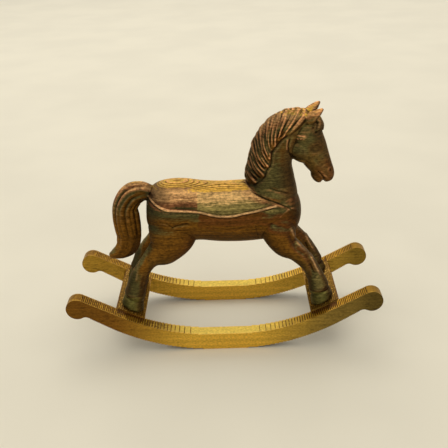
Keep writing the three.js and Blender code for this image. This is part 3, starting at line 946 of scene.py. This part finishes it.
# Places on the horse's side, in shares of its height: the middle, x along and z above the boards,
# and how far the place reaches each way.
PLACES = {
    "loin": (-17, 55.6, 7, 3.4),
    "rump": (-31.5, 58.5, 9, 5),
    "breast": (36.5, 47.5, 4.5, 4.5),
    "shoulder": (31, 45.5, 8, 6),
    "forearm": (40.5, 35, 3.2, 6),
    "collar": (30, 57.5, 9, 5),
    "throat": (29, 66, 5, 9),
    "mane's end": (17.5, 67, 7, 7),
    "jaw": (38.5, 76.5, 5.5, 4),
    "cheek": (38, 82, 5.5, 6.5),
    "brow": (48, 89, 5.5, 6.5),
    "round the eye": (46.5, 80, 5, 5),
    "eyelids": (47, 80.4, 5, 4.5),
    "eye's hollow": (47, 80.2, 3.6, 3.2),
    "eyeball": (46.8, 80.2, 1.7, 1.4),
    "muzzle": (51.5, 66, 7, 10),
    "nostril": (54, 68.5, 4, 4),
    "upper glint": (39.6, 86.6, 2.4, 0.6),
    "lower glint": (39.4, 85, 2.2, 0.5),
}

# How much lighter, or darker below zero, a place is than the way it faces says: painted shade in the eye's
# hollow, among the brow's curls, under the jaw, under the breast's muscle and at the mane's end, a painted
# highlight on the eyeball, and lighter or darker tone at the forearm, collar, throat and cheek.
PLACE_SHADES = {
    "breast": -0.4, "forearm": -0.25, "collar": 0.18, "throat": -0.2, "mane's end": -0.4, "jaw": -0.35,
    "cheek": 0.3, "brow": -0.35, "eye's hollow": -0.45, "eyeball": 0.35,
}
ABOVE_CORD_SHADES = {"loin": -0.25, "rump": -0.6}


class HorseRegions:
    """Masks from 0 to 1 for the horse's parts, by their place on its side."""

    def __init__(self, finish, x, z):
        self.finish = finish
        self.along = x / UNIT
        self.height = (z - STANCE) / UNIT
        self.barrel = self.past(-40, -34) * self.past(26, 18) * self.above(36, 40) * self.above(62, 58)
        self.under_barrel = self.past(-12, -10) * self.past(26, 18)
        self.tail = self.past(-36.5, -39) * self.above(18, 22)
        self.ears = self.above(92.5, 94.5) * self.past(40, 42)
        self.neck = finish.smooth(self.height + self.along * 0.5, 62, 66) * self.past(8, 12)
        upper_head = self.above(68, 76) * self.past(30, 34)
        muzzle = self.above(56, 60) * self.past(42, 45)
        self.head = upper_head + muzzle * (1 - upper_head) * 0.8
        self.legs = self.above(46, 32) * self.above(12, 28)
        self.shins = self.above(32, 14) * (1 - self.tail)
        self.hooves = self.above(7.6, 6.6)

    def past(self, start, full):
        """Zero at one place along the horse, one at the other, and level beyond both."""
        return self.finish.smooth(self.along, start, full)

    def above(self, start, full):
        """Zero at one height over the boards, one at the other, and level beyond both."""
        return self.finish.smooth(self.height, start, full)

    def patch(self, name):
        """A soft oval patch on a named place."""
        x, z, reach_x, reach_z = PLACES[name]
        away = ((self.along - x) / reach_x) ** 2.0 + ((self.height - z) / reach_z) ** 2.0
        return self.finish.smooth(away, 1.0, 0.1)


def facing_colours(finish, looks, share, seam):
    """Filament colours by the way the skin faces, from straight down to straight up, partly the filament's
    own
    and partly painted light: lighter where the skin faces up, painted shade where it faces down. They are
    those behind the seam across the barrel, and those of both sides of it."""
    # Painted shade at the bottom of the ramp where the skin faces down, lighter gold at the top where it
    # faces up.
    bottom = (0.0, looks["underside"]), (0.36, looks["brown"])
    top = (0.952, looks["gold"]), (1.0, looks["gold"])
    rear = finish.ramp(share, [
        *bottom, (0.47, looks["brown"]), (0.56, looks["olive"]), (0.66, looks["olive"]),
        (0.74, looks["copper"]), (0.88, looks["pale copper"]), (0.93, looks["pale copper"]), *top,
    ])
    front = finish.ramp(share, [
        *bottom, (0.49, looks["red brown"]), (0.56, looks["olive"]), (0.66, looks["green"]),
        (0.75, looks["green"]), (0.83, looks["beige"]), (0.93, looks["beige"]), *top,
    ])
    return rear, finish.mix(seam, rear, front)


def horse_shade(finish, on, side_x, cord):
    """How bright the horse is for its place: painted shade on its front and rear ends, in its hollows and
    under the jaw, a painted highlight on the eyeball, and lighter or darker tone at a few places.
    """
    # Painted shade: skin that faces forward or back is darker, the head a little less so and the tail not at
    # all.
    front_shade = finish.smooth(side_x, 0.15, 0.85, 1.0, 0.32) + on.head * 0.25
    rear_shade = finish.smooth(side_x * -1, 0.05, 0.7, 1.0, 0.42)
    ends = finish.smooth(on.tail, 0, 1, front_shade * rear_shade, 1.05)
    # Painted shade in the ears' forward-facing hollows; the top of the tail is toned darker.
    places = 1 - on.ears * finish.smooth(side_x, 0.1, 0.5) * 0.5 - on.tail * on.above(48, 58) * 0.22
    for name, lighter in PLACE_SHADES.items():
        places = places + on.patch(name) * lighter
    for name, lighter in ABOVE_CORD_SHADES.items():
        places = places + on.patch(name) * (1 - cord) * lighter
    return ends * places * (on.legs * 0.22 + 1)


def horse_finish(looks):
    """Silk filament on the horse: it turns from gold over copper to green and brown with the way the
    surface faces, partly its own colours and partly painted light, with a seam across the barrel,
    painted highlights on ridges and painted shade in grooves."""
    finish = Finish("silk filament horse")
    place = finish.place()
    x, _, z = finish.parts(place)
    side_x, _, up = finish.parts(finish.stored_vector("facing"))
    relief = finish.stored("relief")
    cord = finish.stored("cord")
    on = HorseRegions(finish, x, z)
    layers = PrintedLayers(finish, z, place)
    drift = finish.cloud(place, 9.0, 3.0)
    speckle = finish.cloud(place, 0.6, 2.0, (0.6, 0.6, 1.3))

    # The ears' lift towards the lighter upper colours is a painted highlight; the shifts of head, legs and
    # tail pick their colours.
    tilt = up - on.tail * (side_x * 0.14 + 0.06) + on.ears * 0.4 + on.head * 0.16 - on.legs * 0.42
    tilt = tilt + (drift - 0.5) * 0.1 + (layers.streaks - 0.5) * (on.barrel * 0.36 + 0.04)
    tilt = tilt + (layers.random - 0.5) * 0.1 + (speckle - 0.5) * 0.2
    below_cord = finish.stored("below_cord") * on.under_barrel * finish.smooth(up, -0.1, 0.25)
    tilt = tilt - below_cord * 0.3 - on.patch("shoulder") * 0.2

    seam = finish.smooth(x, SEAM_X * UNIT - SEAM_BLUR, SEAM_X * UNIT + SEAM_BLUR)
    rear, colour = facing_colours(finish, looks, tilt * 0.5 + 0.5, seam)
    colour = finish.mix(on.neck * 0.85, colour, rear)
    face = on.head * (1 - on.ears)
    colour = finish.mix(face * 0.6, colour, looks["olive"])
    snout = finish.smooth(side_x, 0.1, 0.6) * 0.45 + on.patch("muzzle") * 0.7
    snout = snout + on.patch("round the eye") * 0.35
    colour = finish.mix(face * snout, colour, looks["red brown"])
    colour = finish.mix(on.shins * 0.55, colour, looks["olive"])

    # Painted highlights: raised ridges that face the light, and two glints on the cheekbone, take the ridge
    # colour.
    lit = finish.smooth(tilt + on.neck * (1 - on.head) * on.above(66, 80) * 0.7, -0.25, 0.4)
    ridge = finish.smooth(relief, 0.02, 0.1) * lit * (1 - on.tail * 0.65) * (1 - on.patch("brow") * 0.85)
    ridge = ridge * (1 - on.patch("eyelids") * 0.85) * (1 - on.patch("nostril") * 0.7)
    ridge = ridge * finish.smooth(on.height, 16, 34, 0.2, 1.0)
    # Painted shade in the carved grooves.
    groove = finish.smooth(relief, -0.01, -0.1)
    colour = finish.mix(ridge * 0.8, colour, looks["ridge"])
    colour = finish.mix(groove * (0.9 - on.tail * 0.25), colour, looks["groove"])
    # Painted shade along the edges of the printed steps.
    colour = finish.mix(layers.contour(up) * 0.7, colour, looks["contour"])
    colour = finish.mix(on.hooves * 0.75, colour, looks["hoof"])
    # Painted highlight along the saddle's cord and down the foreleg's ridge.
    colour = finish.mix(cord, colour, looks["cord"])
    chest = finish.smooth(side_x, 0.1, 0.7) * (1 - on.head) * (1 - on.tail)
    colour = finish.mix(chest * 0.6, colour, looks["red brown"])
    glint = (on.patch("upper glint") + on.patch("lower glint")) * finish.smooth(speckle, 0.3, 0.5)
    colour = finish.mix(glint * 0.8, colour, looks["ridge"])

    lines = (layers.streaks - 0.5) * (on.barrel * 1.3 + 0.6) + 1
    grain = (layers.random * 0.42 + 0.79) * (speckle * 2.2 - 0.1)
    colour = finish.brighten(colour, grain * lines * horse_shade(finish, on, side_x, cord))
    rough = 0.4 + speckle * 0.16 + groove * 0.15 - finish.smooth(up, 0.8, 1.0) * 0.06
    height = layers.bead * 0.035 + speckle * 0.02 + layers.streaks * 0.05
    return finish.silk(colour, rough, height, 0.5)


# The frame's finish, in millimetres from its middle.
FIRST_STEP_X = 9.2
# Width of the painted highlight along each tread's edge.
TREAD_RIM = 0.5


def tread_colour(finish, looks, place, middle, far, speckle, drift):
    """The tops of runners and boards: painted shade in the inner corners of the steps, dark pits and a
    painted highlight along the rim.
    """
    x, y, _ = finish.parts(place)
    inner = RUNNER_SPREAD / 2 - RUNNER_THICKNESS
    run = abs(x) - FLAT_SPOT_LENGTH / 2
    slope = finish.smooth(run / TREAD_RADIUS, 0.0, 0.5, 0.02, 0.55)
    # Painted shade in the inner corner of each printed step, on treads and boards alike.
    corner = finish.smooth(finish.stored("step") * LAYER / slope + (drift - 0.5) * 0.3, 0.34, 0.12)
    corner = corner * finish.smooth(abs(x), FIRST_STEP_X - 0.4, FIRST_STEP_X + 0.4)
    across = (1 - far) * (y + RUNNER_SPREAD / 2) + far * (y - inner)
    ragged = finish.smooth(finish.cloud(place, 1.3, 2.0) + across * 0.07, 0.35, 0.6)
    pits = finish.smooth(speckle + across * 0.02, 0.46, 0.6) * finish.smooth(abs(x), 12, 22)
    off_centre = abs(abs(y) - inner - RUNNER_THICKNESS / 2) + (speckle - 0.5) * 0.3
    # Painted highlight along both edges of each tread.
    rim = finish.smooth(off_centre, RUNNER_THICKNESS / 2 - TREAD_RIM, RUNNER_THICKNESS / 2 - 0.3 * TREAD_RIM)
    colour = finish.mix(middle, looks["tread copper"], looks["tread gold"])
    colour = finish.mix(corner * ragged, colour, looks["step line"])
    colour = finish.mix(pits * finish.smooth(x, -20, 20, 0.75, 0.1), colour, looks["step line"])
    colour = finish.mix(rim * (middle * 0.3 + 0.35), colour, looks["rim"])
    board = finish.mix(corner, looks["board"], looks["step line"])
    # Flecks of the painted rim highlight on the boards.
    board = finish.mix(finish.smooth(speckle, 0.56, 0.68) * 0.7, board, looks["rim"])
    return finish.mix(finish.smooth(abs(y), inner + 0.05, inner - 0.05) * 0.9, colour, board)


def frame_finish(looks):
    """Silk filament on the rocker frame: gold in the middle and on top, brown and olive to the ends,
    with painted shade on faces that turn down and in the steps' corners and a painted highlight on the
    treads' rims.
    """
    finish = Finish("silk filament frame")
    place = finish.place()
    x, y, z = finish.parts(place)
    up = finish.parts(finish.add("ShaderNodeNewGeometry", output=1))[2]
    layers = PrintedLayers(finish, z, place)
    drift = finish.cloud(place, 12.0, 3.0)
    speckle = finish.cloud(place, 0.5, 2.0, (0.7, 0.7, 1.2))
    far = finish.smooth(y, -4, 4)
    middle = finish.smooth(abs(x) + (drift - 0.5) * 14, 36, 8)
    tips = finish.mix(finish.smooth(x, -6, 10), looks["runner brown"], looks["runner olive"])
    tips = finish.mix(far * 0.6, tips, looks["runner gold"])
    sides = finish.mix(middle * (1 - far * 0.4), tips, looks["runner gold"])
    on_top = finish.smooth(up, 0.3, 0.8)
    treads = tread_colour(finish, looks, place, middle, far, speckle, drift)
    colour = finish.mix(on_top, sides, treads)
    # Painted shade on faces that turn down.
    colour = finish.mix(finish.smooth(up, -0.3, -0.8), colour, looks["underside"])
    grain = finish.smooth(finish.cloud(place, 0.9, 3.0, (0.35, 1, 1.2)), 0.5, 0.75)
    colour = finish.mix(grain * (1 - middle) * (1 - on_top * 0.5) * 0.5, colour, looks["groove"])
    shade = (layers.random * 0.24 + 0.88) * (speckle * 1.2 + 0.4) * (layers.streaks * 0.2 + 0.9)
    shade = shade * finish.smooth(x, 40, 47, 1.0, 0.56) * finish.smooth(abs(x), 30, 44, 1.0, 0.85)
    rough = 0.34 + speckle * 0.14 - on_top * 0.1
    height = speckle * 0.02 + layers.streaks * 0.03 + layers.bead * 0.02
    return finish.silk(finish.brighten(colour, shade), rough, height, 0.6)


def plain_finish(name, colour, roughness):
    """A plain stage colour with the faintest mottling."""
    finish = Finish(name)
    mottle = finish.smooth(finish.cloud(finish.place(), 60.0, 2.0), 0.3, 0.7, 0.97, 1.02)
    shader = finish.add("ShaderNodeBsdfPrincipled", None, {
        "Base Color": finish.brighten(colour, mottle), "Roughness": roughness, "Specular IOR Level": 0.2,
    })
    finish.add("ShaderNodeOutputMaterial", None, {"Surface": shader})
    return finish.material


# Settings

def colour_setting(label, about, red, green, blue):
    return bpy.props.FloatVectorProperty(
        name=label, description=about, subtype="COLOR", size=4, min=0, max=1,
        default=tone(red, green, blue),
    )


class RockingHorseLooks(bpy.types.PropertyGroup):
    """Colours of the silk filament, and the painted highlights and shade laid over it."""

    # Gold down to underside follow the way the skin faces: partly the filament's own colours, partly painted
    # light, lighter where the skin faces up and painted shade where it faces down.
    gold: colour_setting("Gold", "Surfaces that face straight up", 212, 168, 70)
    pale_copper: colour_setting("Pale copper", "Upper slopes of the rump", 206, 158, 101)
    copper: colour_setting("Copper", "Steeper slopes of the rump and crest", 131, 81, 48)
    beige: colour_setting("Beige", "Upper slopes of the barrel", 205, 165, 104)
    green: colour_setting("Green", "Steep slopes of the barrel", 144, 127, 71)
    olive: colour_setting("Olive", "Upright sides", 82, 75, 40)
    brown: colour_setting("Brown", "Sides that face down a little", 109, 72, 19)
    red_brown: colour_setting("Red brown", "The barrel below the saddle edge", 99, 57, 22)
    # Painted shade on faces that turn down, on the horse and the frame.
    underside: colour_setting("Underside", "Surfaces that face down", 60, 36, 8)
    ridge: colour_setting("Ridge", "Carved ridges that catch the light", 227, 161, 106)
    # Painted shade in the horse's carved grooves; on the frame the same colour marks dark grain.
    groove: colour_setting("Groove", "Carved grooves", 36, 20, 4)
    # Painted shade along the edges of the printed steps.
    contour: colour_setting("Contour", "Edges of printed steps on shallow slopes", 112, 66, 20)
    runner_gold: colour_setting("Runner gold", "The runners' sides at the middle", 219, 175, 65)
    runner_brown: colour_setting("Runner brown", "The runners' sides at the hind end", 125, 83, 25)
    runner_olive: colour_setting("Runner olive", "The runners' sides at the front end", 134, 110, 50)
    tread_gold: colour_setting("Tread gold", "The runners' tops at the middle", 220, 189, 84)
    tread_copper: colour_setting("Tread copper", "The runners' tops at the ends", 213, 159, 42)
    # Painted shade in the steps' inner corners, and the colour of the dark pits on the treads.
    step_line: colour_setting("Step line", "Inner corners of the printed steps", 88, 50, 10)
    # Painted highlight along the treads' edges, also flecked on the boards.
    rim: colour_setting("Rim", "Edges of the runners' tops", 236, 188, 92)
    board: colour_setting("Board", "Tops of the cross boards", 124, 90, 28)
    hoof: colour_setting("Hoof", "The hooves", 115, 111, 55)
    # Painted highlight along the saddle's raised cord, also laid down the foreleg's ridge.
    cord: colour_setting("Cord", "The saddle's cord", 232, 184, 128)


class RockingHorseSizes(bpy.types.PropertyGroup):
    """Fineness of the carving."""

    skin_voxel: bpy.props.FloatProperty(
        name="Skin grain", description="Grain of the horse's carved skin in millimetres",
        default=SKIN_VOXEL, min=0.1, max=1,
    )
    horse_faces: bpy.props.IntProperty(
        name="Horse faces", description="Most triangles that the horse may have",
        default=HORSE_FACES, min=1000,
    )


def chosen_looks():
    looks = bpy.context.scene.rocking_horse_looks
    names = RockingHorseLooks.__annotations__
    return {name.replace("_", " "): tuple(getattr(looks, name)) for name in names}


class MakeHorse(bpy.types.Operator):
    """Make the carved horse with its mane, tail, saddle edge and collar"""

    bl_idname = "rocking_horse.make_horse"
    bl_label = "Make Horse"

    def execute(self, context):
        sizes = context.scene.rocking_horse_sizes
        piece = new_piece("horse_figure", horse_form_mesh())
        voxel = sizes.skin_voxel
        grain = {"voxel_size": voxel, "adaptivity": 0.0, "use_smooth_shade": True}
        apply_modifier(piece, "REMESH", mode="VOXEL", **grain)
        skin = Skin(piece)
        skin.place = skin.even(skin.place, 1)
        skin.refresh()
        carve_mane(skin)
        carve_body(skin)
        carve_legs(skin)
        carve_head(skin)
        skin.place = skin.even(skin.place, 1)
        skin.refresh()
        terraces(skin)
        note_relief(piece, voxel)
        triangles = 2 * len(piece.data.polygons)
        if triangles > sizes.horse_faces:
            apply_modifier(piece, "DECIMATE", ratio=sizes.horse_faces / triangles)
        piece.data.shade_smooth()
        settle(piece, horse_finish(chosen_looks()), "horse")
        return {"FINISHED"}


class MakeRockerFrame(bpy.types.Operator):
    """Make the rocker frame: two runners with stepped treads and the two cross boards"""

    bl_idname = "rocking_horse.make_rocker_frame"
    bl_label = "Make Rocker Frame"

    def execute(self, context):
        runners = new_piece("rocker", frame_mesh())
        boards = new_piece("boards", boards_mesh())
        apply_modifier(runners, "BOOLEAN", operation="UNION", object=boards, solver="EXACT")
        bpy.data.objects.remove(boards)
        settle(runners, frame_finish(chosen_looks()), "rocker_frame")
        return {"FINISHED"}


# The photograph's view: the camera looks down at the horse's right side, a little rolled.
CAMERA_PLACE = Vector((3.08, -210.16, 136.72))
CAMERA_PITCH = math.radians(25.507)
CAMERA_PAN = math.radians(0.667)
CAMERA_ROLL = math.radians(1.999)
CAMERA_LENS = 57.857
SENSOR = 36.0

# The stage.
FLOOR_SIZE = 6000.0
FLOOR_ROUGHNESS = 0.55
ROOM_STRENGTH = 0.8
LIGHT_COLOUR = (1.0, 0.97, 0.9)


def camera_turn():
    """The camera's pan and pitch as a turn, rolled about its own line of sight."""
    right = Vector((math.cos(CAMERA_PAN), math.sin(CAMERA_PAN), 0))
    level = Vector((-math.sin(CAMERA_PAN), math.cos(CAMERA_PAN), 0))
    forward = level * math.cos(CAMERA_PITCH) - Vector((0, 0, math.sin(CAMERA_PITCH)))
    up = right.cross(forward)
    x_axis = math.cos(CAMERA_ROLL) * right - math.sin(CAMERA_ROLL) * up
    y_axis = math.sin(CAMERA_ROLL) * right + math.cos(CAMERA_ROLL) * up
    return Matrix((x_axis, y_axis, -forward)).transposed().to_4x4()


def add_light(name, place, target, size, watts):
    """A soft oblong light at a place, turned to a target, all in millimetres."""
    light = bpy.data.lights.new(name, "AREA")
    light.shape = "RECTANGLE"
    light.size, light.size_y = (value / METRE for value in size)
    light.energy = watts
    light.color = LIGHT_COLOUR
    lamp = bpy.data.objects.new(name, light)
    lamp.location = Vector(place) / METRE
    lamp.rotation_euler = (Vector(place) - Vector(target)).to_track_quat("Z", "Y").to_euler()
    bpy.context.scene.collection.objects.link(lamp)


class MakeStage(bpy.types.Operator):
    """Make the plain floor, the soft lights and the camera"""

    bl_idname = "rocking_horse.make_stage"
    bl_label = "Make Stage"

    def execute(self, context):
        scene = context.scene
        scene.view_settings.view_transform = "Standard"
        camera = bpy.data.cameras.new("camera")
        camera.lens, camera.sensor_width = CAMERA_LENS, SENSOR
        camera.clip_start, camera.clip_end = 0.01, 20
        holder = bpy.data.objects.new("camera", camera)
        holder.matrix_world = Matrix.Translation(CAMERA_PLACE / METRE) @ camera_turn()
        scene.collection.objects.link(holder)
        scene.camera = holder
        floor = bmesh.new()
        bmesh.ops.create_grid(floor, x_segments=1, y_segments=1, size=FLOOR_SIZE / METRE / 2)
        ground = new_piece("floor", floor)
        ground.data.materials.append(plain_finish("pale floor", tone(234, 228, 209), FLOOR_ROUGHNESS))
        world = bpy.data.worlds.new("pale room")
        world.use_nodes = True
        background = world.node_tree.nodes["Background"]
        background.inputs["Color"].default_value = tone(248, 244, 236)
        background.inputs["Strength"].default_value = ROOM_STRENGTH
        scene.world = world
        add_light("window", place=(-150, 420, 800), target=(0, 0, 20), size=(900, 700), watts=2.2)
        add_light("sheen", place=(60, 900, 420), target=(0, 0, 30), size=(1100, 260), watts=0.45)
        return {"FINISHED"}


class RockingHorsePanel(bpy.types.Panel):
    """Steps and settings of the rocking horse"""

    bl_idname = "VIEW3D_PT_rocking_horse"
    bl_label = "Rocking Horse"
    bl_space_type = "VIEW_3D"
    bl_region_type = "UI"
    bl_category = "Rocking Horse"

    def draw(self, context):
        column = self.layout.column()
        for operator in OPERATORS:
            column.operator(operator.bl_idname)
        for name in RockingHorseSizes.__annotations__:
            column.prop(context.scene.rocking_horse_sizes, name)
        for name in RockingHorseLooks.__annotations__:
            column.prop(context.scene.rocking_horse_looks, name)


OPERATORS = (MakeStage, MakeRockerFrame, MakeHorse)
CLASSES = (RockingHorseLooks, RockingHorseSizes, *OPERATORS, RockingHorsePanel)


def register():
    for item in CLASSES:
        bpy.utils.register_class(item)
    bpy.types.Scene.rocking_horse_looks = bpy.props.PointerProperty(type=RockingHorseLooks)
    bpy.types.Scene.rocking_horse_sizes = bpy.props.PointerProperty(type=RockingHorseSizes)


def unregister():
    del bpy.types.Scene.rocking_horse_sizes
    del bpy.types.Scene.rocking_horse_looks
    for item in reversed(CLASSES):
        bpy.utils.unregister_class(item)


def main():
    register()
    bpy.ops.rocking_horse.make_stage()
    bpy.ops.rocking_horse.make_rocker_frame()
    bpy.ops.rocking_horse.make_horse()
    bpy.context.view_layer.update()


if __name__ == "__main__":
    main()
